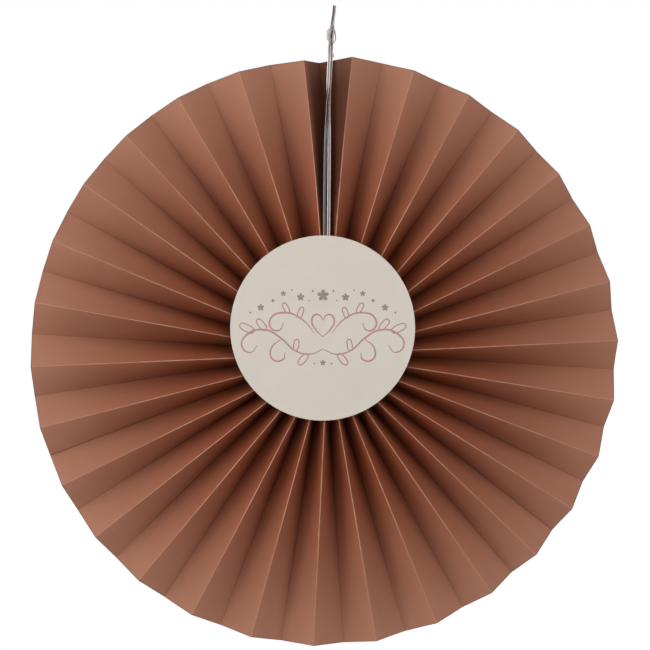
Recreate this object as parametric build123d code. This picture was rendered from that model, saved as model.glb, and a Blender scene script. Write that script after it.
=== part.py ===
from build123d import *
import math
import os

# A hanging paper rosette: three pleated strips of paper closed into a ring, held flat at the
# hub between two card discs, and hung on a doubled flat string that is knotted near its top.
# Millimetres. +Z is up and the front faces -Y. The origin is the middle of the back disc's
# rear face, on the axis of the hub, where the rosette lies against a wall.

# Pleated ring
fan_diameter = 400.0
hub_radius = 10.0            # the folds end here, round a small open hub
rim_depth = 12.7             # from front folds to back folds at the rim
paper = 0.25                 # thickness of the paper
clearance = 0.02             # between faces that only lie against each other
crease_flat = 0.05           # half the width of a fold's narrow flat, at the least

# Pleats spread unevenly, clockwise from the first front fold right of the closing pleat:
# how many pleats of each angle, in degrees. The closing pleat takes what is left.
first_fold_angle = 4.7
pleat_runs = [(1, 12.25), (7, 11.76), (4, 11.52), (6, 12.38), (4, 11.97), (5, 12.42), (2, 12.85)]
right_strip_pleats = 11
lower_strip_pleats = 10

# The closing pleat at the top, where the ring was pulled together by hand
closing_pinch = 0.33         # its folds come together by this share towards the hub
rim_step = 1.8               # the right side stands out by this much at the rim, the left side in
rim_step_fade = 15.0         # degrees over which that step fades
closing_dip = 2.8            # its back fold ends this far inside the rim
closing_fold_at_hub = 7.0    # from the right strip's free edge to the closing flap's fold
closing_fold_at_rim = 0.2

# Joints between the strips
flap_width = 9.0             # a glue flap lies behind the next strip's first panel
closing_flap_width = 9.5     # and the last one in front of it
edge_setback = 0.8           # from a strip's visible edge to the fold beside it
tape_thickness = 0.08
tape_width = 4.5
tape_margin = 1.5            # from the tape to the free edge of its flap
tape_hub_end = 50.0          # from the axis to the tape's inner end
tape_rim_margin = 15.0       # from its outer end to the rim

# Discs and the adhesive that holds them
front_disc_diameter = 125.0
front_disc_x = -3.4          # it was glued on a little high and to the left
front_disc_z = 17.6
back_disc_diameter = 90.0
card = 0.5
disc_edge_round = 0.12
front_adhesive_diameter = 80.0
back_adhesive_diameter = 76.0
back_adhesive_thickness = 1.0
plug_depth = 4.0             # the adhesive goes this far into the open hub
plug_clearance = 0.3

# Hanging string
string_width = 2.0
string_cover = 0.2           # adhesive in front of the string and behind it
knot_length = 9.0
knot_wall = 0.75             # of the knot's middle, round its strands
knot_taper = 0.6             # the knot's ends are this much thinner
knot_strand_spacing = 2.3

fan_radius = fan_diameter / 2
pleat_count = 1 + sum(count for count, turn in pleat_runs)
closing_angle = 360.0 - sum(count * turn for count, turn in pleat_runs)
closing_middle = first_fold_angle - closing_angle / 2
even_turn = 360.0 / pleat_count


def panel_spread(radius, turn):
    """Straight distance from a front fold to the next back fold, seen from the front, in a
    pleat that takes this angle of the ring."""
    return 2 * radius * math.sin(math.radians(turn) / 4)


panel_width = math.hypot(panel_spread(fan_radius, even_turn), rim_depth)


def pleat_depth(radius, turn=even_turn):
    """Depth at this distance from the axis. Panels keep their width, so wide pleats are shallow."""
    return math.sqrt(panel_width**2 - panel_spread(radius, turn) ** 2)


hub_half_depth = pleat_depth(hub_radius) / 2 + paper / 2 + clearance
middle_y = -(card + back_adhesive_thickness + hub_half_depth)
front_adhesive_thickness = string_width + 2 * string_cover
front_adhesive_y = middle_y - hub_half_depth
front_disc_y = front_adhesive_y - front_adhesive_thickness

# Fold lines. A line gives the point of the paper's middle layer at a distance from the axis.


def share_of_reach(radius):
    """0 where the folds end at the hub, 1 at the rim."""
    return (radius - hub_radius) / (fan_radius - hub_radius)


def steady(value):
    """A distance that is the same at every radius."""
    return lambda radius: value


def front_fold_angles():
    """Angle of each front fold at the rim, clockwise from straight up."""
    angles = [first_fold_angle]
    for count, turn in pleat_runs:
        for _ in range(count):
            angles.append(angles[-1] + turn)
    return angles


def rim_step_at(angle):
    """How far the rim stands out from its circle beside the closing pleat."""
    right = angle - closing_middle
    left = closing_middle + 360.0 - angle
    if right < left:
        return rim_step * math.exp(-abs(right) / rim_step_fade)
    return -rim_step * math.exp(-abs(left) / rim_step_fade)


def fold_line(angle, behind_front, pinch=0.0, rim_shift=None):
    """A fold, or a strip's free edge, this far behind the front folds."""
    middle = closing_middle + (360.0 if angle > 180.0 else 0.0)
    shift = rim_step_at(angle) if rim_shift is None else rim_shift

    def point(radius):
        together = pinch * (1 - radius / fan_radius)
        place = math.radians(middle + (angle - middle) * (1 - together))
        reach = radius * (1 + shift / fan_radius)
        y = middle_y - pleat_depth(radius) / 2 + behind_front(radius)
        return Vector(reach * math.sin(place), y, reach * math.cos(place))

    return point


def front_fold(angle, pinch=0.0):
    return fold_line(angle, steady(0), pinch)


def back_fold(angle, turn, pinch=0.0, rim_shift=None):
    return fold_line(angle, lambda radius: pleat_depth(radius, turn), pinch, rim_shift)


def beside(first, second, distance, forward):
    """A line on a panel: from its first fold towards its second one by a distance, and then
    forward, off the panel. The distance and the forward step may depend on the radius."""

    def point(radius):
        start = first(radius)
        across = (second(radius) - start).normalized()
        front = across.cross(Vector(start.X, 0, start.Z)).normalized()
        return start + across * distance(radius) + front * forward(radius)

    return point


# Layers at a glued joint: paper, tape, paper
layer_pitch = paper + tape_thickness + 2 * clearance


def tucked_edge(last_front, shared_back, next_front):
    """The free edge of a strip whose first panel lies in front of its neighbour's glue flap.
    It keeps clear of the neighbour's last panel, so near the hub it starts further out."""

    def place(radius):
        corner = shared_back(radius)
        to_last = last_front(radius) - corner
        to_next = next_front(radius) - corner
        opening = math.radians(to_last.get_angle(to_next))
        lift = 1.5 * layer_pitch * max(math.cos(opening), 0)
        room = paper + 2 * clearance + lift
        return math.hypot(edge_setback, room / math.sin(opening))

    def forward(radius):
        # such that the panel is one layer in front of the flap at the flap's own edge
        return layer_pitch * (panel_width - place(radius)) / (panel_width - flap_width)

    return beside(shared_back, next_front, place, forward)


# Solids of folded paper


def section_corners(centre, to_here, to_next, rise, thickness):
    """The strip's section at one fold: two points in front and two behind. On the outer side
    of the fold they stand apart, so that it ends in a narrow flat."""
    normal_here = to_here.cross(rise).normalized()
    normal_next = to_next.cross(rise).normalized()
    bisector = (normal_here + normal_next).normalized()
    tangent = rise.cross(bisector)
    lean = math.acos(min(bisector.dot(normal_here), 1.0))
    inner = bisector * (thickness / 2 / math.cos(lean))
    outer = bisector * (thickness / 2)
    step = tangent * max(thickness / 2 * math.tan(lean / 2), crease_flat)
    if (normal_next - normal_here).dot(tangent) > 0:
        return [(centre + outer - step, centre + outer + step), (centre - inner, centre - inner)]
    return [(centre + inner, centre + inner), (centre - outer - step, centre - outer + step)]


def edge_corners(centre, across, rise, thickness):
    """The strip's section at a free edge, with no flat."""
    half = across.cross(rise).normalized() * (thickness / 2)
    return [(centre + half, centre + half), (centre - half, centre - half)]


def strip_corners(lines, radii, thickness):
    """Corner points of a folded strip, as corners[skin][line][side][station]."""
    middle = [[line(radius) for radius in radii] for line in lines]
    corners = [[([], []) for _ in lines] for skin in range(2)]
    last = len(lines) - 1
    for i in range(last + 1):
        for j, centre in enumerate(middle[i]):
            rise = middle[i][min(j + 1, len(radii) - 1)] - middle[i][max(j - 1, 0)]
            rise = rise.normalized()
            if i in (0, last):
                across = middle[1][j] - centre if i == 0 else centre - middle[i - 1][j]
                section = edge_corners(centre, across, rise, thickness)
            else:
                to_here = centre - middle[i - 1][j]
                to_next = middle[i + 1][j] - centre
                section = section_corners(centre, to_here, to_next, rise, thickness)
            for skin in range(2):
                for side in range(2):
                    corners[skin][i][side].append(section[skin][side])
    return corners


def ruled(first_edge, second_edge):
    return Face.make_surface_from_curves(first_edge, second_edge)


def folded_strip(lines, radii, thickness, kept=(0.0, 1.0)):
    """One solid of even thickness through the fold lines. Its long edges are drawn over all the
    radii, and it keeps the stretch between two shares of their length."""
    corners = strip_corners(lines, radii, thickness)
    shares = [share_of_reach(radius) for radius in radii]

    def rail(points):
        return Edge.make_spline(points, parameters=shares).trim(*kept)

    rails = [[[rail(points) for points in pair] for pair in skin] for skin in corners]
    last = len(lines) - 1
    faces = []
    for i in range(last):
        for skin in range(2):
            faces.append(ruled(rails[skin][i][1], rails[skin][i + 1][0]))
        for end in (0, 1):
            edges = [Edge.make_line(skin[i][1] @ end, skin[i + 1][0] @ end) for skin in rails]
            faces.append(ruled(edges[0], edges[1]))
    for i in range(1, last):
        flat_in_front = (corners[0][i][0][0] - corners[0][i][1][0]).length > crease_flat
        flat, point = (0, 1) if flat_in_front else (1, 0)
        faces.append(ruled(rails[flat][i][0], rails[flat][i][1]))
        tip = rails[point][i][0]
        for end in (0, 1):
            triangle = [rails[flat][i][0] @ end, rails[flat][i][1] @ end, tip @ end]
            faces.append(Face(Wire.make_polygon(triangle, close=True)))
    for i in (0, last):
        faces.append(ruled(rails[0][i][0], rails[1][i][0]))
    return Solid(Shell(faces))


def stations(first, last, count=6):
    """Evenly spaced distances from the axis."""
    return [first + (last - first) * k / (count - 1) for k in range(count)]


# The whole ring
sheet_radii = stations(hub_radius, fan_radius)
last_pleat = pleat_count - 1
lower_start = right_strip_pleats
left_start = right_strip_pleats + lower_strip_pleats

front_angles = front_fold_angles()
front_folds = [front_fold(angle) for angle in front_angles]
for k in (0, last_pleat):
    front_folds[k] = front_fold(front_angles[k], closing_pinch)
back_folds = [back_fold((a + b) / 2, b - a) for a, b in zip(front_angles, front_angles[1:])]
first_turn = front_angles[1] - front_angles[0]
free_edge = back_fold(first_fold_angle - first_turn / 2, first_turn, closing_pinch, -closing_dip)


def strip_lines(first_pleat, end_pleat, start_edge):
    """Fold lines of a strip: its free edge, then its front and back folds in turn."""
    lines = [start_edge]
    for k in range(first_pleat, end_pleat):
        lines += [front_folds[k], back_folds[k]]
    return lines


def glue_flap(pleat):
    """The free edge of the flap behind the next strip's first panel."""
    return beside(back_folds[pleat - 1], front_folds[pleat], steady(flap_width), steady(0))


def start_edge(pleat):
    return tucked_edge(front_folds[pleat - 1], back_folds[pleat - 1], front_folds[pleat])


def closing_fold_place(radius):
    travel = closing_fold_at_rim - closing_fold_at_hub
    return closing_fold_at_hub + travel * share_of_reach(radius)


def closing_flap_place(radius):
    return closing_fold_place(radius) + closing_flap_width


def closing_lines():
    """The closing flap's fold and free edge, in front of the right strip's first panel."""
    places = (closing_fold_place, closing_flap_place)
    return [beside(free_edge, front_folds[0], place, steady(layer_pitch)) for place in places]


def right_strip():
    lines = strip_lines(0, lower_start, free_edge)
    return folded_strip(lines + [glue_flap(lower_start)], sheet_radii, paper)


def lower_strip():
    lines = strip_lines(lower_start, left_start, start_edge(lower_start))
    return folded_strip(lines + [glue_flap(left_start)], sheet_radii, paper)


def left_strip():
    lines = strip_lines(left_start, last_pleat, start_edge(left_start))
    return folded_strip(lines + [front_folds[last_pleat]] + closing_lines(), sheet_radii, paper)


def tape(first, second, flap_edge_place):
    """Double-sided tape half a layer in front of the panel between these two folds."""

    def far(radius):
        return flap_edge_place(radius) - tape_margin

    def near(radius):
        return far(radius) - tape_width

    edges = [beside(first, second, place, steady(layer_pitch / 2)) for place in (near, far)]
    kept = [share_of_reach(radius) for radius in (tape_hub_end, fan_radius - tape_rim_margin)]
    return folded_strip(edges, sheet_radii, tape_thickness, kept)


def joint_tape(pleat):
    return tape(back_folds[pleat - 1], front_folds[pleat], steady(flap_width))


def closing_tape():
    return tape(free_edge, front_folds[0], closing_flap_place)


# Discs and adhesive


def disc(diameter, thickness, rear_y, x=0.0, z=0.0):
    """A round plate that grows towards the front from its rear face."""
    plane = Plane(origin=(x, rear_y, z), x_dir=(1, 0, 0), z_dir=(0, -1, 0))
    return extrude(plane * Circle(diameter / 2), thickness)


def card_disc(diameter, rear_y, x=0.0, z=0.0):
    plate = disc(diameter, card, rear_y, x, z)
    return fillet(plate.edges(), disc_edge_round)


def front_adhesive(string_tube):
    pad = disc(front_adhesive_diameter, front_adhesive_thickness, front_adhesive_y)
    plug = disc(2 * (hub_radius - plug_clearance), plug_depth, front_adhesive_y + plug_depth)
    return pad + plug - string_tube


def back_adhesive():
    pad = disc(back_adhesive_diameter, back_adhesive_thickness, -card)
    plug = disc(2 * (hub_radius - plug_clearance), plug_depth, -card - back_adhesive_thickness)
    return pad + plug


# Hanging string: from its first end under the front disc up the left strand, over the top of
# the small loop, and down the right strand. Points are (x, y, z), chosen by hand.
string_y = front_adhesive_y - front_adhesive_thickness / 2
left_strand = [
    (-1.65, string_y, 18.0),
    (-1.75, string_y, 40.0),
    (-2.26, -24.0, 80.4),
    (-1.59, -20.0, 137.8),
    (-0.3, -18.4, 171.6),
    (0.7, -16.6, 190.0),
    (1.35, -15.1, 208.0),
    (2.75, -14.9, 222.0),
    (4.3, -16.2, 229.0),
    (4.8, -16.2, 235.5),
]
right_strand = [
    (0.5, string_y, 18.0),
    (0.35, string_y, 40.0),
    (0.45, -24.0, 80.4),
    (1.16, -20.0, 137.8),
    (1.05, -16.6, 171.6),
    (2.85, -15.5, 190.0),
    (3.1, -13.6, 208.0),
    (3.75, -12.83, 222.0),
    (4.3, -11.6, 229.0),
    (4.8, -11.6, 235.5),
]
below_knot = 6               # index of the point where each strand enters the knot


def corner_radii(points):
    """The largest arcs that two neighbouring runs allow."""
    run_share = 0.45
    radii = []
    for before, corner, after in zip(points, points[1:], points[2:]):
        into = corner - before
        out = after - corner
        half_turn = math.radians(into.get_angle(out)) / 2
        radii.append(run_share * min(into.length, out.length) / math.tan(half_turn))
    return radii


def hanging_string():
    points = [Vector(*p) for p in left_strand + right_strand[::-1]]
    radii = corner_radii(points)
    route = FilletPolyline(*points, radius=radii)
    section = Plane(origin=route @ 0, z_dir=route % 0) * Circle(string_width / 2)
    tube = sweep(section, path=route)
    due = math.pi * (string_width / 2) ** 2 * route.length
    print("string arc radii, mm:", [round(r, 1) for r in radii])
    print(f"string length {route.length:.1f} mm, volume {tube.volume:.1f} of {due:.1f} mm3")
    return tube


def string_knot(string_tube):
    """A barrel round both strands, which pass through it."""
    low, high = [
        (Vector(*left_strand[k]) + Vector(*right_strand[k])) / 2
        for k in (below_knot, below_knot + 1)
    ]
    middle = (low + high) / 2
    rise = (high - low).normalized()
    profile = Plane(origin=middle, x_dir=rise.cross(Vector(0, 1, 0)), z_dir=rise)
    middle_radius = (knot_strand_spacing + string_width) / 2 + knot_wall
    end_radius = middle_radius - knot_taper
    half = knot_length / 2
    upright = Plane(origin=middle, x_dir=profile.x_dir, z_dir=profile.x_dir.cross(rise))
    side = ThreePointArc((end_radius, -half), (middle_radius, 0), (end_radius, half))
    outline = side + Polyline((end_radius, half), (0, half), (0, -half), (end_radius, -half))
    return revolve(upright * make_face(outline), Axis(middle, rise)) - string_tube


string_tube = hanging_string()
parts = {
    "pleated_strip_right": right_strip(),
    "pleated_strip_lower": lower_strip(),
    "pleated_strip_left": left_strip(),
    "joint_tape_right": joint_tape(lower_start),
    "joint_tape_left": joint_tape(left_start),
    "joint_tape_top": closing_tape(),
    "front_disc": card_disc(front_disc_diameter, front_disc_y, front_disc_x, front_disc_z),
    "front_adhesive": front_adhesive(string_tube),
    "back_adhesive": back_adhesive(),
    "back_disc": card_disc(back_disc_diameter, 0.0),
    "hanging_string": string_tube,
    "string_knot": string_knot(string_tube),
}

os.makedirs("parts", exist_ok=True)
for name, solid in parts.items():
    export_step(solid, f"parts/{name}.step")
    print(name, "valid", solid.is_valid, "volume", round(solid.volume, 1))
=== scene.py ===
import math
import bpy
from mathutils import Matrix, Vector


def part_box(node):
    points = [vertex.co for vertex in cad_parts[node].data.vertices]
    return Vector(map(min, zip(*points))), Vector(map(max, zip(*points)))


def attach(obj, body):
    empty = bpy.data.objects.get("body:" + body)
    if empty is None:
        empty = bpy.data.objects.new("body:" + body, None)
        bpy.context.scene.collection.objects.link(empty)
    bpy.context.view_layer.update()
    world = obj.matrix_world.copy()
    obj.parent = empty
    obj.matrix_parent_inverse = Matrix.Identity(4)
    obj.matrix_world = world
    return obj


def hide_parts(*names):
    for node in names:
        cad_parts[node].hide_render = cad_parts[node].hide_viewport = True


bl_info = {
    "name": "Paper fan rosette",
    "version": (1, 0, 0),
    "blender": (4, 5, 0),
    "location": "3D View > Sidebar > Rosette",
    "description": "Dresses the frame of a hanging pleated paper rosette and sets up its stage",
    "category": "Object",
}

import bmesh
import bpy
from bpy.props import FloatProperty, FloatVectorProperty, PointerProperty
from bpy.types import Operator, Panel, PropertyGroup
from mathutils import Matrix, Vector, noise

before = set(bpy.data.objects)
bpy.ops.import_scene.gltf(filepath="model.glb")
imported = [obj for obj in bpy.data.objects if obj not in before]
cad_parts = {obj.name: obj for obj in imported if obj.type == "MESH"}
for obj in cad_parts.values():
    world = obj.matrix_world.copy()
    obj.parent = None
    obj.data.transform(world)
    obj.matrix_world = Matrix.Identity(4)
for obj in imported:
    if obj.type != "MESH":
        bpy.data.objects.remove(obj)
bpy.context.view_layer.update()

MM = 0.001
BODY = "root"

# Pleats, as the frame has them: how many pleats of each angle in degrees, clockwise from the
# first front fold right of the closing pleat
PLEAT_RUNS = ((1, 12.25), (7, 11.76), (4, 11.52), (6, 12.38), (4, 11.97), (5, 12.42), (2, 12.85))
PLEAT_COUNT = 1 + sum(count for count, turn in PLEAT_RUNS)
LAST_PLEAT = PLEAT_COUNT - 1
LOWER_START = 11
LEFT_START = 21

# Hanging string: the route of its middle line in millimetres, up the left strand, over the
# loop and down the right one, with the height of the front adhesive's middle filled in
STRING_LEFT = (
    (-1.65, None, 18.0),
    (-1.75, None, 40.0),
    (-2.26, -24.0, 80.4),
    (-1.59, -20.0, 137.8),
    (-0.3, -18.4, 171.6),
    (0.7, -16.6, 190.0),
    (1.35, -15.1, 208.0),
    (2.75, -14.9, 222.0),
    (4.3, -16.2, 229.0),
    (4.8, -16.2, 235.5),
)
STRING_RIGHT = (
    (0.5, None, 18.0),
    (0.35, None, 40.0),
    (0.45, -24.0, 80.4),
    (1.16, -20.0, 137.8),
    (1.05, -16.6, 171.6),
    (2.85, -15.5, 190.0),
    (3.1, -13.6, 208.0),
    (3.75, -12.83, 222.0),
    (4.3, -11.6, 229.0),
    (4.8, -11.6, 235.5),
)

LENGTH = {"subtype": "DISTANCE", "unit": "LENGTH"}
COLOUR = {"subtype": "COLOR", "size": 3, "min": 0.0, "max": 1.0}


def box_middle(node):
    low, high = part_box(node)
    return (low + high) / 2


# Settings


class RosettePaper(PropertyGroup):
    """Sizes and colours of the pleated paper"""

    fan_diameter: FloatProperty(
        name="Fan diameter", description="Across the rim's front folds", default=0.4, **LENGTH
    )
    hub_radius: FloatProperty(
        name="Hub radius", description="Where the folds end", default=0.01, **LENGTH
    )
    rim_depth: FloatProperty(
        name="Rim depth", description="Pleat depth at the rim", default=0.0127, **LENGTH
    )
    thickness: FloatProperty(
        name="Paper", description="Thickness of the paper", default=0.00025, **LENGTH
    )
    bow: FloatProperty(
        name="Bow", description="How far panels belly out of flat", default=0.0005, **LENGTH
    )
    colour: FloatVectorProperty(
        name="Paper colour",
        description="Its face at the rim",
        default=(0.364, 0.167, 0.109),
        **COLOUR,
    )
    # Painted shade: the paper is painted darker and redder towards the hub, where the deep pleats
    # get less light
    hub_shade_colour: FloatVectorProperty(
        name="Deep colour",
        description="Its face near the hub, which light and hands reach less",
        default=(0.228, 0.0595, 0.025),
        **COLOUR,
    )
    # The pale fold line: partly worn paper, partly painted highlight where the front folds catch
    # the light
    crease_colour: FloatVectorProperty(
        name="Crease colour",
        description="Worn line along the front folds",
        default=(0.55, 0.32, 0.24),
        **COLOUR,
    )
    crease_width: FloatProperty(
        name="Crease width", description="Of that line near the hub", default=0.00068, **LENGTH
    )
    # Colour of a darker band along the front face of the rim
    edge_colour: FloatVectorProperty(
        name="Edge colour", description="Cut edge", default=(0.16, 0.10, 0.085), **COLOUR
    )
    # Painted shade deep in the closing pleat
    closing_shade_colour: FloatVectorProperty(
        name="Closing colour",
        description="Deep in the closing pleat",
        default=(0.045, 0.010, 0.004),
        **COLOUR,
    )


class RosetteCard(PropertyGroup):
    """Colours of the discs and the size of the printed ornament"""

    colour: FloatVectorProperty(
        name="Card colour", description="Warm white card", default=(0.62, 0.566, 0.498), **COLOUR
    )
    print_colour: FloatVectorProperty(
        name="Print colour", description="Scrolls", default=(0.44, 0.215, 0.185), **COLOUR
    )
    blossom_colour: FloatVectorProperty(
        name="Blossom colour", description="Blossoms, dots", default=(0.25, 0.2, 0.165), **COLOUR
    )
    line_width: FloatProperty(
        name="Line width", description="Width of the scrolls", default=0.001, **LENGTH
    )
    ornament_width: FloatProperty(
        name="Ornament width", description="Across the outer scrolls", default=0.112, **LENGTH
    )
    adhesive_colour: FloatVectorProperty(
        name="Adhesive colour", description="Dried glue", default=(0.70, 0.66, 0.56), **COLOUR
    )
    tape_colour: FloatVectorProperty(
        name="Tape colour", description="Tape", default=(0.72, 0.70, 0.66), **COLOUR
    )


class RosetteString(PropertyGroup):
    """Size and colours of the hanging string"""

    width: FloatProperty(
        name="String width", description="Of the flat string", default=0.0021, **LENGTH
    )
    edge_thickness: FloatProperty(
        name="Edge thickness", description="Of its two corded edges", default=0.00045, **LENGTH
    )
    web_thickness: FloatProperty(
        name="Web thickness", description="Between the edges", default=0.00018, **LENGTH
    )
    colour: FloatVectorProperty(
        name="Web colour", description="Between the edges", default=(0.085, 0.07, 0.07), **COLOUR
    )
    edge_colour: FloatVectorProperty(
        name="Edge colour", description="Corded edges", default=(0.42, 0.37, 0.36), **COLOUR
    )
    knot_colour: FloatVectorProperty(
        name="Knot colour", description="Web in the knot", default=(0.27, 0.25, 0.25), **COLOUR
    )
    pale_colour: FloatVectorProperty(
        name="Pale colour", description="Single folds", default=(0.56, 0.53, 0.51), **COLOUR
    )
    # Painted shade: the near-black core inside the knot, where there is shade
    knot_shade_colour: FloatVectorProperty(
        name="Dark colour", description="Inside the knot", default=(0.035, 0.022, 0.02), **COLOUR
    )


class RosetteStage(PropertyGroup):
    """Camera and light"""

    lens: FloatProperty(name="Lens", description="Focal length, mm", default=126.48)
    lamps: FloatProperty(name="Lamps", description="Share of the softboxes' power", default=1.0)
    softbox: FloatProperty(name="Softboxes", description="Their sides, by this", default=1.0)
    ambient: FloatProperty(name="Ambient", description="World strength", default=0.01)
    floor_drop: FloatProperty(
        name="Floor drop", description="Floor below the hub", default=0.9, **LENGTH
    )


# Nodes written as expressions


class Signal:
    """A number or a colour at one node's output."""

    def __init__(self, surface, socket):
        self.surface = surface
        self.socket = socket

    def math(self, operation, *others):
        values = {k: v for k, v in enumerate((self,) + others)}
        return self.surface.node("ShaderNodeMath", {"operation": operation}, values)

    def __add__(self, other):
        return self.math("ADD", other)

    __radd__ = __add__

    def __sub__(self, other):
        return self.math("SUBTRACT", other)

    def __rsub__(self, other):
        return (self * -1) + other

    def __mul__(self, other):
        return self.math("MULTIPLY", other)

    __rmul__ = __mul__

    def __truediv__(self, other):
        return self.math("DIVIDE", other)

    def __abs__(self):
        return self.math("ABSOLUTE")

    def __mod__(self, other):
        return self.math("FLOORED_MODULO", other)


class Surface:
    """The nodes of a new material, or of the world."""

    def __init__(self, name, world=None):
        self.owner = world or bpy.data.materials.new(name)
        self.owner.use_nodes = True
        self.tree = self.owner.node_tree
        self.tree.nodes.clear()

    def node(self, kind, settings=None, values=None, output=0):
        """Adds a node: its settings first, then the values or links of its sockets."""
        made = self.tree.nodes.new(kind)
        for key, value in (settings or {}).items():
            setattr(made, key, value)
        for key, value in (values or {}).items():
            if isinstance(value, Signal):
                self.tree.links.new(value.socket, made.inputs[key])
            else:
                made.inputs[key].default_value = value
        if made.outputs:
            return Signal(self, made.outputs[output])

    def uv(self, name):
        """A UV map as a vector, and its two numbers."""
        flat = self.node("ShaderNodeUVMap", {"uv_map": name})
        parts = [self.node("ShaderNodeSeparateXYZ", values={0: flat}, output=k) for k in (0, 1)]
        return flat, *parts

    def position(self):
        return self.node("ShaderNodeTexCoord", output=3)

    def stretched(self, vector, scale):
        return self.node("ShaderNodeMapping", values={"Vector": vector, "Scale": scale})

    def grain(self, vector, size, detail=3.0, roughness=0.6):
        """Noise from 0 to 1 whose blotches are about this size, in metres."""
        values = {"Vector": vector, "Scale": 1 / size, "Detail": detail, "Roughness": roughness}
        return self.node("ShaderNodeTexNoise", values=values)

    def ramp(self, value, low, high, to_low=0.0, to_high=1.0):
        """A smooth step from low to high."""
        values = {0: value, 1: low, 2: high, 3: to_low, 4: to_high}
        return self.node("ShaderNodeMapRange", {"interpolation_type": "SMOOTHSTEP"}, values)

    def mix(self, factor, first, second):
        sockets = {0: factor, 6: opaque(first), 7: opaque(second)}
        return self.node("ShaderNodeMix", {"data_type": "RGBA"}, sockets, output=2)

    def tinted(self, colour, value):
        """A colour made lighter or darker by a number."""
        tint = colour if isinstance(colour, Signal) else tuple(colour)
        return self.node("ShaderNodeVectorMath", {"operation": "SCALE"}, {0: tint, 3: value})

    def bump(self, height, distance, strength):
        values = {"Height": height, "Distance": distance, "Strength": strength}
        return self.node("ShaderNodeBump", values=values)

    def finish(self, values):
        """Ends in one principled shader."""
        shader = self.node("ShaderNodeBsdfPrincipled", values=values)
        self.node("ShaderNodeOutputMaterial", values={0: shader})
        return self.owner


def opaque(colour):
    """A plain colour with its alpha; a link stays as it is."""
    if isinstance(colour, Signal):
        return colour
    return (*colour, 1.0)


# Meshes


def new_piece(name, bm, material, smooth=True):
    mesh = bpy.data.meshes.new(name)
    bm.to_mesh(mesh)
    bm.free()
    piece = bpy.data.objects.new(name, mesh)
    bpy.context.scene.collection.objects.link(piece)
    mesh.materials.append(material)
    for polygon in mesh.polygons:
        polygon.use_smooth = smooth
    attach(piece, BODY)
    return piece


def dress(node, material):
    """Gives a frame node its material."""
    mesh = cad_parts[node].data
    mesh.materials.clear()
    mesh.materials.append(material)


# Pleats: fold lines give a point of the paper's middle layer at a distance from the axis


class Pleats:
    """The folded ring's geometry, in metres and degrees."""

    first_fold = 4.7
    closing_pinch = 0.33
    rim_step = 0.0018
    rim_step_fade = 15.0
    closing_dip = 0.0028
    closing_fold_at_hub = 0.007
    closing_fold_at_rim = 0.0002
    flap = 0.009
    closing_flap = 0.0095
    setback = 0.0008
    tape = 0.00008
    clearance = 0.00002

    def __init__(self, paper):
        self.paper = paper.thickness
        self.radius = paper.fan_diameter / 2
        self.hub = paper.hub_radius
        self.even_turn = 360.0 / PLEAT_COUNT
        self.panel = math.hypot(self.spread(self.radius, self.even_turn), paper.rim_depth)
        self.middle_y = box_middle("pleated_strip_lower").y
        self.layer = self.paper + self.tape + 2 * self.clearance
        closing = 360.0 - sum(count * turn for count, turn in PLEAT_RUNS)
        self.seam = self.first_fold - closing / 2
        angles = [self.first_fold]
        for count, turn in PLEAT_RUNS:
            for _ in range(count):
                angles.append(angles[-1] + turn)
        self.front = [self.fold(angle) for angle in angles]
        for k in (0, LAST_PLEAT):
            self.front[k] = self.fold(angles[k], pinch=self.closing_pinch)
        self.back = [self.fold((a + b) / 2, b - a) for a, b in zip(angles, angles[1:])]
        turn = PLEAT_RUNS[0][1]
        self.free_edge = self.fold(
            self.first_fold - turn / 2, turn, self.closing_pinch, -self.closing_dip
        )

    def spread(self, radius, turn):
        """From a front fold to the next back fold, seen from the front."""
        return 2 * radius * math.sin(math.radians(turn) / 4)

    def depth(self, radius, turn):
        return math.sqrt(self.panel**2 - self.spread(radius, turn) ** 2)

    def rim_shift(self, angle):
        right = angle - self.seam
        left = self.seam + 360.0 - angle
        if right < left:
            return self.rim_step * math.exp(-abs(right) / self.rim_step_fade)
        return -self.rim_step * math.exp(-abs(left) / self.rim_step_fade)

    def fold(self, angle, turn=None, pinch=0.0, shift=None):
        """A front fold, or where its pleat's angle is given, a back fold."""
        middle = self.seam + (360.0 if angle > 180.0 else 0.0)
        if shift is None:
            shift = self.rim_shift(angle)

        def point(radius):
            together = pinch * (1 - radius / self.radius)
            place = math.radians(middle + (angle - middle) * (1 - together))
            reach = radius * (1 + shift / self.radius)
            y = self.middle_y - self.depth(radius, self.even_turn) / 2
            if turn:
                y += self.depth(radius, turn)
            return Vector((reach * math.sin(place), y, reach * math.cos(place)))

        return point

    def tucked_edge(self, pleat):
        """The visible edge of a strip that starts in front of its neighbour's glue flap."""
        last, corner, following = self.front[pleat - 1], self.back[pleat - 1], self.front[pleat]

        def point(radius):
            start = corner(radius)
            opening = (last(radius) - start).angle(following(radius) - start)
            lift = 1.5 * self.layer * max(math.cos(opening), 0)
            room = self.paper + 2 * self.clearance + lift
            place = math.hypot(self.setback, room / math.sin(opening))
            forward = self.layer * (self.panel - place) / (self.panel - self.flap)
            return beside(corner, following, place, forward)(radius)

        return point

    def glue_flap(self, pleat):
        return beside(self.back[pleat - 1], self.front[pleat], self.flap, 0.0)

    def closing_lines(self):
        lines = []
        for extra in (0.0, self.closing_flap):

            def point(radius, extra=extra):
                share = (radius - self.hub) / (self.radius - self.hub)
                reach = self.closing_fold_at_rim - self.closing_fold_at_hub
                place = self.closing_fold_at_hub + reach * share + extra
                return beside(self.free_edge, self.front[0], place, self.layer)(radius)

            lines.append(point)
        return lines

    def strip(self, first, end, start_edge):
        lines = [start_edge]
        for k in range(first, end):
            lines += [self.front[k], self.back[k]]
        return lines


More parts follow.
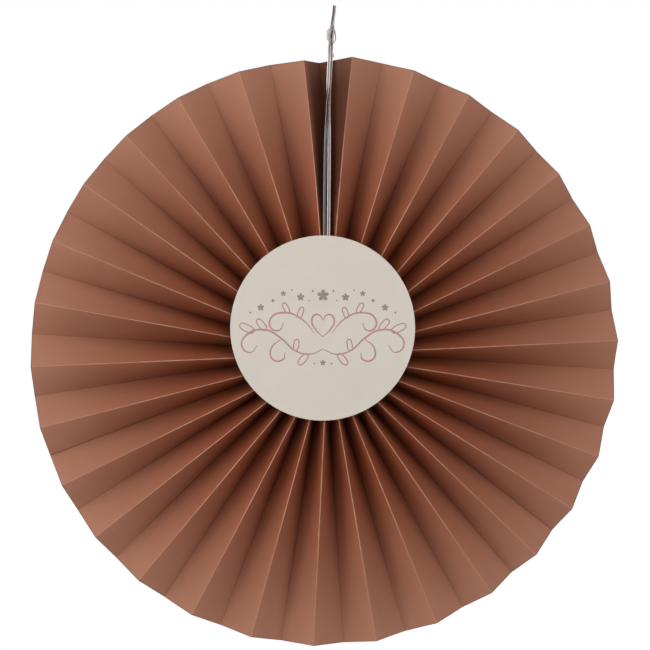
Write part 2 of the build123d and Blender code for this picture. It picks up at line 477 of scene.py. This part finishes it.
def beside(first, second, distance, forward):
    """A line on a panel: a distance from its first fold, and forward off its face."""

    def point(radius):
        start = first(radius)
        across = (second(radius) - start).normalized()
        front = across.cross(Vector((start.x, 0, start.z))).normalized()
        return start + across * distance + front * forward

    return point


# Where columns of vertices stand across a panel, closer together beside its folds
PANEL_COLUMNS = (0.0, 0.012, 0.04, 0.12, 0.26, 0.42, 0.58, 0.74, 0.88, 0.96, 0.988)
ROWS = 30


def smooth_step(value, low, high):
    share = min(max((value - low) / (high - low), 0.0), 1.0)
    return share * share * (3 - 2 * share)


def belly(pleats, bow, panel_seed, radius, share):
    """How far a panel stands off flat: none at its folds, a few tenths of a millimetre between."""
    drift = noise.noise(Vector((panel_seed * 3.7, radius * 11.0, 1.3)))
    lean = noise.noise(Vector((panel_seed * 5.1, radius * 9.0, 7.7)))
    full = math.sin(math.pi * share)
    skewed = math.sin(2 * math.pi * share)
    fade = smooth_step(radius, pleats.hub, pleats.radius * 0.45)
    full_share, skewed_share = 1.6, 0.7
    return bow * fade * (full_share * drift * full + skewed_share * lean * skewed)


def pleated_strip(name, pleats, lines, first_fold_index, bow, material):
    """A flat grid of paper, folded at its lines and given its thickness."""
    steps = len(PANEL_COLUMNS)
    panels = len(lines) - 1
    columns = panels * steps
    bm = bmesh.new()
    bmesh.ops.create_grid(bm, x_segments=columns, y_segments=ROWS, size=0.5)
    uv = bm.loops.layers.uv.new("flat")
    places = {}
    for vertex in bm.verts:
        column = round((vertex.co.x + 0.5) * columns)
        row = round((vertex.co.y + 0.5) * ROWS)
        panel = min(column // steps, panels - 1)
        step = column - panel * steps
        share = 1.0 if step == steps else PANEL_COLUMNS[step]
        radius = pleats.hub + (pleats.radius - pleats.hub) * row / ROWS
        start = lines[panel](radius)
        across = lines[panel + 1](radius) - start
        face = across.cross(Vector((start.x, 0, start.z))).normalized()
        seed = first_fold_index + panel
        off = 0.0
        if 0 < panel < panels - 1:
            off = belly(pleats, bow, seed, radius, share)
        vertex.co = start + across * share + face * off
        along = (seed + share) * pleats.panel
        if panel == 0:
            along = (seed + 1) * pleats.panel - across.length * (1 - share)
        if panel == panels - 1:
            along = seed * pleats.panel + across.length * share
        places[vertex.index] = (along, radius)
    for face in bm.faces:
        for loop in face.loops:
            loop[uv].uv = places[loop.vert.index]
    bmesh.ops.recalc_face_normals(bm, faces=bm.faces)
    for edge in bm.edges:
        on_fold = all(
            abs((places[v.index][0] / pleats.panel + 0.5) % 1 - 0.5) < 1e-4 for v in edge.verts
        )
        edge.smooth = not (on_fold or edge.is_boundary)
    piece = new_piece(name, bm, material)
    wall = piece.modifiers.new("paper", "SOLIDIFY")
    wall.thickness = pleats.paper
    wall.offset = 0.0
    return piece


def paper_material(paper, pleats):
    """Uncoated coloured paper with painted shade, darker towards the hub, in each back fold and
    deep in the closing pleat, and painted light beside each front fold. A pale line along each
    front fold is partly wear and partly painted highlight, and a faint pale line lies in each back
    fold."""
    s = Surface("pleated_paper")
    flat, along, radius = s.uv("flat")
    rim = pleats.radius
    front_gap = abs((along / pleats.panel) % 2 - 1)
    to_front = front_gap * pleats.panel
    to_back = (1 - front_gap) * pleats.panel
    # Fold lines: the front ones are pale partly from wear, in patches, and partly from painted
    # highlight that is strongest near the hub, and finer towards the rim
    wear = s.ramp(s.grain(flat, 0.009), 0.3, 0.62, 0.6, 1.0)
    half_line = s.ramp(radius, rim * 0.35, rim, paper.crease_width, paper.crease_width / 2)
    front_line = s.ramp(to_front / half_line, 0.35, 1.1, 1.0, 0.0)
    front_line = front_line * s.ramp(radius, rim * 0.45, rim * 0.9, 1.0, 0.45) * wear
    back_line = s.ramp(to_back, 0.0002, 0.0007, 1.0, 0.0)
    back_line = back_line * s.ramp(radius, rim * 0.4, rim * 0.75, 0.16, 0.0)
    # Painted light beside each front fold, and painted shade in each back fold, weaker at the rim
    crest_side_light = s.ramp(to_front, 0.0, 0.009, 0.06, 0.0)
    valley_shade = s.ramp(to_back, 0.0, 0.0009, 0.14, 0.0) * s.ramp(radius, rim * 0.75, rim, 1.0, 0.4)
    # Painted shade in the closing pleat's two inner panels; into is 0 at its front folds, 1 in its
    # valley
    into = 1.0 - abs((along / pleats.panel + 1.0) % (2.0 * PLEAT_COUNT) - 1.0)
    right_fold, left_fold, valley = 0.82, 0.56, 0.88
    beside_fold = s.ramp(along, pleats.panel, pleats.panel * 2.0, right_fold, left_fold)
    deep_in = s.ramp(into, 0.0, 0.5)
    closing = beside_fold * (1.0 - deep_in) + deep_in * valley
    closing = closing * s.ramp(into, -0.002, 0.002)
    closing = closing * s.ramp(radius, rim * 0.4, rim * 0.6, 0.3, 1.0)
    closing = closing * s.ramp(radius, rim * 0.9, rim, 1.0, 0.8)
    # Its face: clouds and fibres, and painted shade that deepens the colour from the rim in to the
    # hub
    cloudy = s.ramp(s.grain(flat, 0.05, 2.0), 0.3, 0.7, 0.97, 1.03)
    fibre = s.ramp(s.grain(flat, 0.0009, 4.0, 0.7), 0.25, 0.75, 0.95, 1.05)
    reach = s.node("ShaderNodeMapRange", values={0: radius, 1: rim * 0.42, 2: rim})
    reach = reach.math("POWER", 1.1)
    face = s.mix(reach, paper.hub_shade_colour, paper.colour)
    # Clouds and fibres, with the painted light and shade of the folds
    face = s.tinted(face, cloudy * fibre + crest_side_light - valley_shade)
    # Painted shade in the closing pleat
    face = s.mix(closing, face, paper.closing_shade_colour)
    # Pale fold lines, the front ones partly wear and partly painted highlight
    face = s.mix(front_line + back_line * (1.0 - closing), face, paper.crease_colour)
    # A darker band along the front face of the rim
    rim_edge = s.ramp(radius, rim - 0.0007, rim - 0.0002)
    face = s.mix(rim_edge * 0.75, face, paper.edge_colour)
    height = s.grain(flat, 0.0006, 4.0, 0.65)
    return s.finish(
        {
            "Base Color": face,
            "Roughness": 0.9,
            "Specular IOR Level": 0.12,
            "Normal": s.bump(height, 0.00004, 0.5),
        }
    )


class ROSETTE_OT_pleats(Operator):
    """Builds the three pleated strips of paper"""

    bl_idname = "rosette.pleats"
    bl_label = "Pleated paper"

    def execute(self, context):
        paper = context.scene.rosette_paper
        pleats = Pleats(paper)
        material = paper_material(paper, pleats)
        right = pleats.strip(0, LOWER_START, pleats.free_edge) + [pleats.glue_flap(LOWER_START)]
        lower = pleats.strip(LOWER_START, LEFT_START, pleats.tucked_edge(LOWER_START))
        lower += [pleats.glue_flap(LEFT_START)]
        left = pleats.strip(LEFT_START, LAST_PLEAT, pleats.tucked_edge(LEFT_START))
        left += [pleats.front[LAST_PLEAT]] + pleats.closing_lines()
        strips = (
            ("right", right, 0),
            ("lower", lower, 2 * LOWER_START),
            ("left", left, 2 * LEFT_START),
        )
        for side, lines, index in strips:
            name = f"paper_strip_{side}"
            piece = pleated_strip(name, pleats, lines, index, paper.bow, material)
            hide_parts(f"pleated_strip_{side}")
        return {"FINISHED"}


# Card discs, adhesive and tape


def card_material(card, name, tone):
    """Matt card with a faint tooth."""
    s = Surface(name)
    place = s.position()
    cloudy = s.ramp(s.grain(place, 0.03, 2.0), 0.3, 0.7, 0.985, 1.015)
    tooth = s.ramp(s.grain(place, 0.0007, 3.0), 0.25, 0.75, 0.975, 1.025)
    face = s.tinted(card.colour, cloudy * tooth * tone)
    height = s.grain(place, 0.0005, 4.0)
    return s.finish(
        {
            "Base Color": face,
            "Roughness": 0.7,
            "Specular IOR Level": 0.3,
            "Normal": s.bump(height, 0.00003, 0.4),
        }
    )


def ink_material(name, colour):
    """Printed ink, a little uneven."""
    s = Surface(name)
    uneven = s.ramp(s.grain(s.position(), 0.0012, 3.0), 0.3, 0.7, 0.93, 1.07)
    return s.finish({"Base Color": s.tinted(colour, uneven), "Roughness": 0.55})


def milky_material(name, colour):
    """Dried adhesive or tape, slightly clouded."""
    s = Surface(name)
    place = s.position()
    cloudy = s.ramp(s.grain(place, 0.006, 3.0), 0.3, 0.7, 0.9, 1.06)
    height = s.grain(place, 0.003, 2.0)
    return s.finish(
        {
            "Base Color": s.tinted(colour, cloudy),
            "Roughness": 0.4,
            "Normal": s.bump(height, 0.0002, 0.4),
        }
    )


class ROSETTE_OT_discs(Operator):
    """Gives the two card discs, the adhesive and the tape their materials"""

    bl_idname = "rosette.discs"
    bl_label = "Discs and adhesive"

    def execute(self, context):
        card = context.scene.rosette_card
        dress("front_disc", card_material(card, "printed_card", 1.0))
        dress("back_disc", card_material(card, "plain_card", 0.96))
        adhesive = milky_material("adhesive", card.adhesive_colour)
        for node in ("front_adhesive", "back_adhesive"):
            dress(node, adhesive)
        tape = milky_material("tape", card.tape_colour)
        for node in ("joint_tape_right", "joint_tape_left", "joint_tape_top"):
            dress(node, tape)
        return {"FINISHED"}


# Printed ornament: a mirrored pair of scrolls with leaves and a heart between them, and
# blossoms and dots round it. Points are millimetres right of and above the disc's middle.
SCROLLS = (
    ((0, -12), (7, -15), (16, -13), (24, -6), (33, -1), (43, -3), (47, -10), (42, -14), (38, -10)),
    ((5, -3), (12, 5), (22, 9), (30, 6), (30, 0), (25, -1), (23, 3)),
    ((24, -6), (30, -12), (29, -18), (23, -18), (22, -14)),
    ((0, -5), (4.5, -0.5), (6.5, 4), (5, 7.5), (2, 7.5), (0, 4.5)),
)
LEAVES = (
    ((9, -15), (14, -21)),
    ((16, -13), (15, -6.5)),
    ((33, -1), (38, 5)),
    ((40, -2), (48, 2)),
    ((14, 6), (12, 12)),
    ((20, 9), (23, 14.5)),
)
BLOSSOMS = ((0, 19, 3.4), (13, 18, 2.2), (23, 20, 1.6), (36, 12, 2.0), (0, -20, 1.7))
DOTS = ((6, 21.5, 0.6), (8, 16, 0.5), (18, 22, 0.5), (29, 16, 0.9), (42, 9, 0.6), (5, -20.5, 0.5))
DRAWN_WIDTH = 96.0
INK_THICKNESS = 0.03

# Shares of the scrolls' line: the leaves' line, a brush line's ends, and its swell between them
LEAF_LINE = 0.8
THIN_END = 0.45
SWELL = 0.75

# A blossom's petals: how many, how far out the paper shows between them, and how blunt they are
PETALS = 5
PETAL_WAIST = 0.4
PETAL_ROUND = 0.6


def disc_plane(scale):
    """From the ornament's own millimetres to the front face of the front disc."""
    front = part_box("front_disc")[0].y
    middle = box_middle("front_disc")
    to_front = Matrix.Rotation(math.radians(90), 4, "X")
    return Matrix.Translation((middle.x, front, middle.z)) @ to_front @ Matrix.Scale(scale, 4)


def brush_stroke(bm, points, width, closed=False):
    """A tapering brush line through the points, flattened to ink."""
    curve = bpy.data.curves.new("stroke", "CURVE")
    curve.dimensions = "3D"
    curve.bevel_depth = width / 2
    curve.bevel_resolution = 1
    curve.resolution_u = 10
    spline = curve.splines.new("BEZIER")
    spline.bezier_points.add(len(points) - 1)
    spline.use_cyclic_u = closed
    for k, (anchor, place) in enumerate(zip(spline.bezier_points, points)):
        anchor.co = (*place, 0)
        anchor.handle_left_type = anchor.handle_right_type = "AUTO"
        share = k / (len(points) - 1)
        anchor.radius = 1.0 if closed else THIN_END + SWELL * math.sin(math.pi * share) ** 0.7
    holder = bpy.data.objects.new("stroke", curve)
    mesh = bpy.data.meshes.new_from_object(holder)
    mesh.transform(Matrix.Diagonal((1, 1, INK_THICKNESS / width, 1)))
    bm.from_mesh(mesh)
    bpy.data.objects.remove(holder)
    bpy.data.curves.remove(curve)
    bpy.data.meshes.remove(mesh)


def mirrored(points):
    return [(-x, z) for x, z in points]


def leaf_outline(foot, tip):
    foot, tip = Vector(foot), Vector(tip)
    across = (tip - foot).orthogonal() * 0.22
    return [foot, (foot + tip) / 2 + across, tip, (foot + tip) / 2 - across]


def add_ink_shape(bm, x, z, size, blossom):
    """A blossom of five petals, or a dot."""
    segments = PETALS * 10 if blossom else 14
    made = bmesh.ops.create_circle(bm, cap_ends=True, radius=size, segments=segments)
    if blossom:
        for vertex in made["verts"]:
            angle = math.atan2(vertex.co.x, vertex.co.y)
            petal = abs(math.cos(angle * PETALS / 2)) ** PETAL_ROUND
            vertex.co *= PETAL_WAIST + (1 - PETAL_WAIST) * petal
    bmesh.ops.translate(bm, verts=made["verts"], vec=(x, z, INK_THICKNESS / 2))
    faces = {face for vertex in made["verts"] for face in vertex.link_faces}
    bmesh.ops.solidify(bm, geom=list(faces), thickness=INK_THICKNESS)


class ROSETTE_OT_ornament(Operator):
    """Prints the scrolls, blossoms and dots on the front disc"""

    bl_idname = "rosette.ornament"
    bl_label = "Printed ornament"

    def execute(self, context):
        card = context.scene.rosette_card
        scale = card.ornament_width / DRAWN_WIDTH
        width = card.line_width / scale
        lines = bmesh.new()
        for points in SCROLLS:
            brush_stroke(lines, points, width)
            brush_stroke(lines, mirrored(points), width)
        for foot, tip in LEAVES:
            outline = [tuple(p) for p in leaf_outline(foot, tip)]
            brush_stroke(lines, outline, width * LEAF_LINE, closed=True)
            brush_stroke(lines, mirrored(outline), width * LEAF_LINE, closed=True)
        shapes = bmesh.new()
        for places, blossom in ((BLOSSOMS, True), (DOTS, False)):
            for x, z, size in places:
                for side in {x, -x}:
                    add_ink_shape(shapes, side, z, size, blossom)
        inks = (
            ("printed_scrolls", lines, card.print_colour),
            ("printed_blossoms", shapes, card.blossom_colour),
        )
        for name, bm, colour in inks:
            bmesh.ops.transform(bm, matrix=disc_plane(scale), verts=bm.verts)
            bmesh.ops.recalc_face_normals(bm, faces=bm.faces)
            piece = new_piece(name, bm, ink_material(name, colour), smooth=bm is lines)
        return {"FINISHED"}


# Hanging string and its knot


def string_points():
    """Control points of the string's route, in metres."""
    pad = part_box("front_disc")[1].y
    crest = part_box("pleated_strip_lower")[0].y
    string_y = (pad + crest) / 2 / MM
    route = []
    for x, y, z in STRING_LEFT + STRING_RIGHT[::-1]:
        route.append(Vector((x, string_y if y is None else y, z)) * MM)
    return route


def route_line(points, resolution=12):
    """Points along the smooth line that these control points give."""
    curve = bpy.data.curves.new("route", "CURVE")
    curve.dimensions = "3D"
    curve.resolution_u = resolution
    spline = curve.splines.new("NURBS")
    spline.points.add(len(points) - 1)
    for point, place in zip(spline.points, points):
        point.co = (*place, 1.0)
    spline.order_u = 3
    spline.use_endpoint_u = True
    holder = bpy.data.objects.new("route", curve)
    mesh = bpy.data.meshes.new_from_object(holder)
    line = [vertex.co.copy() for vertex in mesh.vertices]
    bpy.data.objects.remove(holder)
    bpy.data.curves.remove(curve)
    bpy.data.meshes.remove(mesh)
    return line


def line_length(line):
    return sum((b - a).length for a, b in zip(line, line[1:]))


def keyed(keys, share):
    """A value between given keys of (share, value)."""
    for (a, first), (b, second) in zip(keys, keys[1:]):
        if share <= b:
            blend = smooth_step(share, a, b)
            return first + (second - first) * blend
    return keys[-1][1]


def ribbon_section(width, edge, web):
    """Half-width and half-thickness points round a flat string with corded edges."""
    half = width / 2
    right = [
        (half, 0.0),
        (half - edge * 0.35, edge / 2),
        (half - edge * 1.1, web / 2),
        (0.0, web / 2),
    ]
    left = [(-x, y) for x, y in right[-2::-1]]
    upper = right + left
    lower = [(x, -y) for x, y in upper[-2:0:-1]]
    return upper + lower


def grow_ribbon(bm, line, twist_keys, section, finish=0, start_face=Vector((0, -1, 0))):
    """A flat string along a line, turned about it by the keyed twist."""
    uv = bm.loops.layers.uv.get("ribbon") or bm.loops.layers.uv.new("ribbon")
    earlier = set(bm.faces)
    total = line_length(line)
    face = start_face
    done = 0.0
    ring = None
    travelled = {}
    for k, place in enumerate(line):
        ahead = (line[min(k + 1, len(line) - 1)] - line[max(k - 1, 0)]).normalized()
        face = (face - ahead * face.dot(ahead)).normalized()
        if k:
            done += (place - line[k - 1]).length
        turn = Matrix.Rotation(math.radians(keyed(twist_keys, done / total)), 3, ahead)
        out = turn @ face
        side = ahead.cross(out)
        places = [place + side * x + out * y for x, y in section]
        if ring is None:
            ring = [bm.verts.new(p) for p in places]
            bm.faces.new(ring)
        else:
            edges = [bm.edges.get(pair) for pair in zip(ring, ring[1:] + ring[:1])]
            grown = bmesh.ops.extrude_edge_only(bm, edges=edges)["geom"]
            fresh = {g for g in grown if isinstance(g, bmesh.types.BMVert)}
            mates = [{e.other_vert(old) for e in old.link_edges} & fresh for old in ring]
            ring = [mate.pop() for mate in mates]
            for vertex, where in zip(ring, places):
                vertex.co = where
        for (x, y), vertex in zip(section, ring):
            travelled[vertex] = (x / section[0][0] * 0.5 + 0.5, done)
    bm.faces.new(ring)
    for polygon in set(bm.faces) - earlier:
        polygon.material_index = finish
        for loop in polygon.loops:
            loop[uv].uv = travelled[loop.vert]


def string_material(name, web, edge, level=None):
    """Flat shiny string, woven lengthwise, with corded edges. Its level, where given, is painted
    light and shade: how bright it is at each distance along it."""
    s = Surface(name)
    flat, across, along = s.uv("ribbon")
    threads = s.grain(s.stretched(flat, (0.006, 0.25, 1.0)), 0.0006, 3.0)
    streaks = s.ramp(threads, 0.25, 0.75, 0.75, 1.25)
    corded = s.ramp(abs(across * 2 - 1), 0.4, 0.8)
    patches = s.ramp(s.grain(flat, 0.012, 2.0), 0.35, 0.65, 0.8, 1.2)
    tone = streaks * patches
    if level:
        tone = tone * level(s, across, along)
    return s.finish(
        {
            "Base Color": s.tinted(s.mix(corded, web, edge), tone),
            "Roughness": 0.36,
            "Specular IOR Level": 0.6,
            "Normal": s.bump(threads, 0.00006, 0.6),
        }
    )


# Painted light and shade along the string: where its brightness changes, from one distance
# along it to another, in metres, and the level before and after
LEFT_STRAND = (0.155, 0.17, 0.72, 2.6)
OVER_THE_RIM = (0.183, 0.19, 1.0, 0.55)
RIGHT_STRAND = (0.275, 0.3, 1.0, 1.3)
STRANDS_PART = (0.15, 0.165)
STRANDS_MEET = (0.205, 0.21, 1.0, 0.0)
LOOP_TOP = (0.2195, 0.2196)
INNER_EDGE = (0.6, 0.7)
INNER_SHADE = 0.98


def painted_string_light(s, across, along):
    """Painted light and shade: the left strand is dull below and bright above, the right one
    bright below. Where they lie side by side, the left one's inner edge gets painted shade."""
    left = s.ramp(along, *LEFT_STRAND)
    over = s.ramp(along, *OVER_THE_RIM)
    right = s.ramp(along, *RIGHT_STRAND)
    apart = s.ramp(along, *STRANDS_PART) * s.ramp(along, *STRANDS_MEET)
    past_top = s.ramp(along, *LOOP_TOP)
    inner = s.ramp(across, *INNER_EDGE) * (1.0 - apart) * (1.0 - past_top)
    return left * over * right * (1.0 - inner * INNER_SHADE)


# How far the string is turned about its line, in degrees, by share of its length
STRING_TWIST = (
    (0.0, 0.0),
    (0.28, 0.0),
    (0.34, 62.0),
    (0.385, 180.0),
    (0.42, 205.0),
    (0.47, 180.0),
    (0.53, 180.0),
    (0.575, 220.0),
    (0.61, 262.0),
    (0.66, 240.0),
    (0.72, 180.0),
    (1.0, 180.0),
)

# The knot's folds: which finish, the share of the string's width, how far turned at the start
# and at the end, and the route in millimetres right of, behind and above the knot's middle
# Finishes of the knot's folds: plain, pale, and painted shade for its dark core
PLAIN, PALE, PAINTED_SHADE = range(3)
INNER_ROUTE = ((-0.5, -0.9, -6.2), (-0.1, -1.3, 0.0), (0.9, -0.9, 6.4))
LEFT_ROUTE = ((-1.1, -1.0, -6.4), (-1.6, -2.0, -1.4), (-0.9, -2.2, 3.2), (0.6, -1.0, 7.0))
RIGHT_ROUTE = ((0.5, -0.8, -4.8), (0.9, -1.8, -1.3), (1.5, -1.9, 3.2), (1.5, -0.8, 7.2))
LEFT_LOOP = (
    (-1.2, -0.7, 4.8),
    (-2.5, -0.7, 3.4),
    (-2.7, -0.6, 0.6),
    (-2.5, -0.5, -2.2),
    (-1.4, -0.5, -3.0),
)
RIGHT_LOOP = (
    (1.3, -0.9, 5.6),
    (2.4, -0.9, 3.2),
    (2.8, -0.9, -0.4),
    (2.7, -0.8, -3.6),
    (1.9, -0.7, -4.5),
    (1.2, -0.6, -3.4),
)
LOOSE_END = ((0.3, -0.4, -14.9), (1.3, -0.8, -14.4), (1.7, -0.8, -13.0), (1.1, -0.5, -11.7))
KNOT_FOLDS = (
    (PAINTED_SHADE, 0.8, 0, 60, INNER_ROUTE),
    (PLAIN, 0.62, -20, 25, LEFT_ROUTE),
    (PLAIN, 0.5, 20, -30, RIGHT_ROUTE),
    (PALE, 0.8, 10, 25, LEFT_LOOP),
    (PALE, 0.45, 60, 40, RIGHT_LOOP),
    (PALE, 0.4, 30, 50, LOOSE_END),
)


def build_knot(section, materials):
    """The folds that make the knot, in one piece."""
    middle = box_middle("string_knot")
    bm = bmesh.new()
    for finish, share, first, last, route in KNOT_FOLDS:
        line = route_line([middle + Vector(place) * MM for place in route])
        narrow = [(x * share, y) for x, y in section]
        grow_ribbon(bm, line, ((0.0, first), (1.0, last)), narrow, finish)
    bmesh.ops.recalc_face_normals(bm, faces=bm.faces)
    knot = new_piece("knot_folds", bm, materials[0])
    for material in materials[1:]:
        knot.data.materials.append(material)
    return knot


class ROSETTE_OT_string(Operator):
    """Builds the hanging string and its knot"""

    bl_idname = "rosette.string"
    bl_label = "Hanging string"

    def execute(self, context):
        settings = context.scene.rosette_string
        section = ribbon_section(
            settings.width, settings.edge_thickness, settings.web_thickness
        )
        points = string_points()
        line = route_line(points)
        bm = bmesh.new()
        grow_ribbon(bm, line, STRING_TWIST, section)
        bmesh.ops.recalc_face_normals(bm, faces=bm.faces)
        finish = string_material("string", settings.colour, settings.edge_colour, painted_string_light)
        string = new_piece("hanging_ribbon", bm, finish)
        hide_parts("hanging_string")
        plain = string_material("knot_string", settings.knot_colour, settings.edge_colour)
        pale = string_material("knot_pale", settings.pale_colour, settings.pale_colour)
        # The knot's core is painted shade
        dark = string_material("knot_painted_shade", settings.knot_shade_colour, settings.knot_shade_colour)
        knot = build_knot(section, (plain, pale, dark))
        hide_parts("string_knot")
        return {"FINISHED"}


# Stage

# Camera: measured from the perspective of the rim and the pleats in the photograph
CAMERA_PLACE = (-0.1124, -1.5635, 0.0873)
CAMERA_TURN = 4.114
CAMERA_TILT = -2.514
CAMERA_ROLL = 0.18
SENSOR_WIDTH = 36.0
FLOOR_HALF = 8.0
FLOOR_COLOUR = (0.9, 0.9, 0.9, 1.0)
WHITE = (1.0, 1.0, 1.0, 1.0)


def add_camera(stage):
    data = bpy.data.cameras.new("camera")
    data.lens = stage.lens
    data.sensor_width = SENSOR_WIDTH
    data.dof.use_dof = False
    camera = bpy.data.objects.new("camera", data)
    camera.matrix_world = (
        Matrix.Translation(CAMERA_PLACE)
        @ Matrix.Rotation(math.radians(-CAMERA_TURN), 4, "Z")
        @ Matrix.Rotation(math.radians(90 + CAMERA_TILT), 4, "X")
        @ Matrix.Rotation(math.radians(CAMERA_ROLL), 4, "Z")
    )
    bpy.context.scene.collection.objects.link(camera)
    bpy.context.scene.camera = camera


# Softboxes: their place, side in metres and power in watts. Most stand close by, so that the
# fan's upper left is lit more than its lower right.
SOFTBOXES = {
    "front_left_box": ((-1.06, -1.06, 0.02), 1.2, 6.5),
    "front_upper_left_box": ((-0.75, -1.06, 0.77), 1.2, 3.2),
    "front_top_box": ((0.0, -1.06, 1.08), 1.2, 3.3),
    "front_upper_right_box": ((0.75, -1.06, 0.77), 1.2, 5.1),
    "front_right_box": ((1.93, -2.30, 0.02), 2.4, 26.3),
    "left_box": ((-1.24, -0.40, 0.02), 0.7, 5.0),
    "upper_left_box": ((-0.87, -0.40, 0.89), 0.7, 3.6),
    "right_box": ((1.24, -0.40, 0.02), 0.7, 2.2),
    "back_left_box": ((-0.7, 1.4, 0.4), 0.9, 8.5),
    "back_right_box": ((0.7, 1.4, 0.1), 0.9, 8.5),
}


def add_softbox(name, place, side, watts):
    """A square lamp that faces the front disc."""
    data = bpy.data.lights.new(name, "AREA")
    data.size = side
    data.energy = watts
    lamp = bpy.data.objects.new(name, data)
    aim = (Vector(place) - box_middle("front_disc")).to_track_quat("Z", "Y")
    lamp.matrix_world = Matrix.Translation(place) @ aim.to_matrix().to_4x4()
    lamp.visible_camera = False
    bpy.context.scene.collection.objects.link(lamp)


def seen_white(surface, plain, white):
    """White to the camera, in glossy reflections and through clear things."""
    rays = [
        surface.node("ShaderNodeLightPath", output=name)
        for name in ("Is Camera Ray", "Is Glossy Ray", "Is Transmission Ray")
    ]
    seen = rays[0].math("MAXIMUM", rays[1]).math("MAXIMUM", rays[2])
    glow = surface.node(white, values={"Color": WHITE, "Strength": 1.0})
    return surface.node("ShaderNodeMixShader", values={0: seen, 1: plain, 2: glow})


def add_floor(stage):
    bm = bmesh.new()
    bmesh.ops.create_grid(bm, x_segments=1, y_segments=1, size=FLOOR_HALF)
    bmesh.ops.translate(bm, verts=bm.verts, vec=(0, 0, -stage.floor_drop))
    surface = Surface("pale_floor")
    matt = surface.node("ShaderNodeBsdfDiffuse", values={"Color": FLOOR_COLOUR})
    both = seen_white(surface, matt, "ShaderNodeEmission")
    surface.node("ShaderNodeOutputMaterial", values={0: both})
    mesh = bpy.data.meshes.new("floor")
    bm.to_mesh(mesh)
    bm.free()
    mesh.materials.append(surface.owner)
    floor = bpy.data.objects.new("floor", mesh)
    bpy.context.scene.collection.objects.link(floor)


def light_world(stage):
    world = bpy.data.worlds.new("studio")
    bpy.context.scene.world = world
    surface = Surface("studio", world)
    values = {"Color": WHITE, "Strength": stage.ambient}
    plain = surface.node("ShaderNodeBackground", values=values)
    both = seen_white(surface, plain, "ShaderNodeBackground")
    surface.node("ShaderNodeOutputWorld", values={0: both})


class ROSETTE_OT_stage(Operator):
    """Sets up the camera, the lamps, the floor and the white studio"""

    bl_idname = "rosette.stage"
    bl_label = "Stage"

    def execute(self, context):
        stage = context.scene.rosette_stage
        add_camera(stage)
        for name, (place, side, watts) in SOFTBOXES.items():
            add_softbox(name, place, side * stage.softbox, watts * stage.lamps)
        add_floor(stage)
        light_world(stage)
        context.scene.view_settings.view_transform = "Standard"
        return {"FINISHED"}


class ROSETTE_PT_panel(Panel):
    """Lists the rosette's steps and settings"""

    bl_idname = "ROSETTE_PT_panel"
    bl_label = "Paper fan rosette"
    bl_space_type = "VIEW_3D"
    bl_region_type = "UI"
    bl_category = "Rosette"

    def draw(self, context):
        layout = self.layout
        for name, _ in SETTINGS:
            group = getattr(context.scene, name)
            column = layout.box().column()
            for key in group.__annotations__:
                column.prop(group, key)
        for step in STEPS:
            layout.operator(step.bl_idname)


SETTINGS = (
    ("rosette_paper", RosettePaper),
    ("rosette_card", RosetteCard),
    ("rosette_string", RosetteString),
    ("rosette_stage", RosetteStage),
)
STEPS = (
    ROSETTE_OT_stage,
    ROSETTE_OT_pleats,
    ROSETTE_OT_discs,
    ROSETTE_OT_ornament,
    ROSETTE_OT_string,
)


def register():
    for name, group in SETTINGS:
        bpy.utils.register_class(group)
        setattr(bpy.types.Scene, name, PointerProperty(type=group))
    for cls in STEPS + (ROSETTE_PT_panel,):
        bpy.utils.register_class(cls)


def unregister():
    for cls in (ROSETTE_PT_panel,) + STEPS[::-1]:
        bpy.utils.unregister_class(cls)
    for name, group in SETTINGS[::-1]:
        delattr(bpy.types.Scene, name)
        bpy.utils.unregister_class(group)


def main():
    register()
    for step in STEPS:
        group, _, name = step.bl_idname.partition(".")
        getattr(getattr(bpy.ops, group), name)()


if __name__ == "__main__":
    main()
